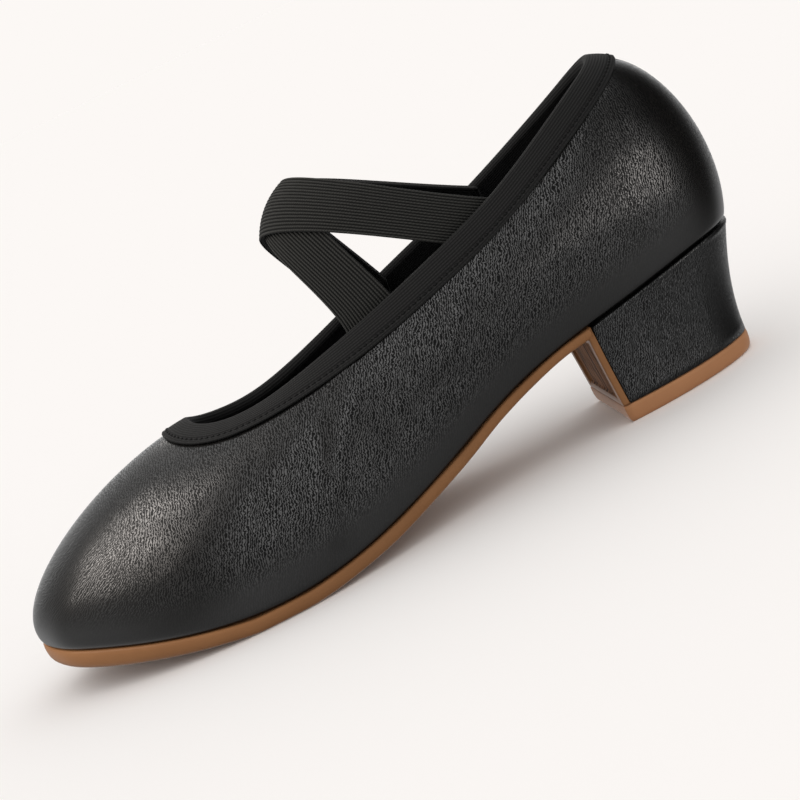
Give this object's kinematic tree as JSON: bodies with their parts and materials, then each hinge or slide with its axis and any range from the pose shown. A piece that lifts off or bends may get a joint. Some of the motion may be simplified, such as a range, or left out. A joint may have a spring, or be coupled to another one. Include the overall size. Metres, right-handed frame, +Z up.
{
  "type": "dance practice shoe",
  "caption": "Low-heeled leather dance practice shoe for the left foot, with an elastic-bound collar, crossed elastic instep straps and a rubber sole.",
  "frame": {"origin": "on the floor, at the middle of the footprint of the shoe's box", "axes": "+X towards the toe, +Y towards the outer side of the left foot, +Z up from the floor"},
  "size_m": [0.2422, 0.082, 0.1074],
  "materials": {
    "leather": "black grained sheep leather, semi-matt",
    "heel_leather": "black grained leather glued over the heel block",
    "binding": "black woven elastic tape, folded and stitched",
    "elastic": "black ribbed elastic webbing",
    "sole_rubber": "brown moulded rubber, satin",
    "heel_rubber": "brown moulded rubber, satin",
    "sock": "black sock lining"
  },
  "bodies": {
    "root": {"upper": "leather", "collar_binding": "binding", "strap_over": "elastic", "strap_under": "elastic", "insole": "sock", "outsole": "sole_rubber", "heel_block": "heel_leather", "heel_top_piece": "heel_rubber"}
  },
  "joints": []
}
